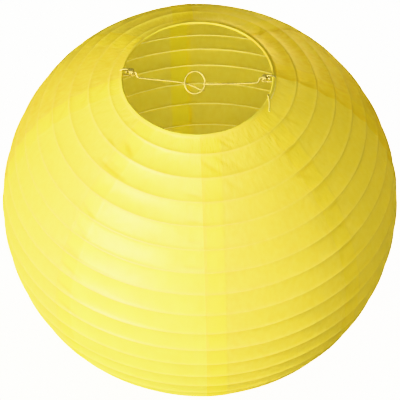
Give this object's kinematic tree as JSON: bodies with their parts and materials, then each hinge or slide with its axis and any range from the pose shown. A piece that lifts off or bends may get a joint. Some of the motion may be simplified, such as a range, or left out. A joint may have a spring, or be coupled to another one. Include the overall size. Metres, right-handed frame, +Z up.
{
  "type": "paper lantern",
  "caption": "Round folding paper lantern: lapped paper gores on a wire helix, open rings at top and bottom, and a sprung wire expander with a hanging loop.",
  "frame": {"origin": "centre of the bottom ring's footprint, on the surface that the lantern stands on", "axes": "+Z up through both openings, -Y the side that the hanging loop leans towards, +X to the right of it"},
  "size_m": [0.3007, 0.3009, 0.2794],
  "materials": {
    "paper": "matt translucent yellow mulberry-type paper",
    "ring_wire": "bright drawn steel wire",
    "rib_wire": "drawn steel wire, glued under the paper",
    "expander_wire": "bright spring steel wire"
  },
  "bodies": {
    "root": {"paper_gore_1": "paper", "paper_gore_2": "paper", "paper_gore_3": "paper", "paper_gore_4": "paper", "paper_gore_5": "paper", "paper_gore_6": "paper", "paper_gore_7": "paper", "paper_gore_8": "paper", "rib_wire": "rib_wire", "bottom_ring": "ring_wire", "expander_bow_left": "expander_wire", "expander_bow_right": "expander_wire"},
    "top_rim": {"top_ring": "ring_wire"},
    "hanger": {"hanger_bar": "expander_wire"}
  },
  "joints": [
    {"name": "collapse", "type": "slide", "parent": "root", "child": "top_rim", "axis": [0, 0, 1], "range_m": [-0.25, 0], "stiffness_N_per_m": 8, "springref_m": 0.03, "deforming": ["paper_gore_1", "paper_gore_2", "paper_gore_3", "paper_gore_4", "paper_gore_5", "paper_gore_6", "paper_gore_7", "paper_gore_8", "rib_wire", "expander_bow_left", "expander_bow_right"]},
    {"name": "hanger_swing", "type": "hinge", "parent": "top_rim", "child": "hanger", "pos_m": [0.00035, 0.00398, 0.27592], "axis": [0.9962, -0.0872, 0], "range_deg": [-135, 42]}
  ]
}
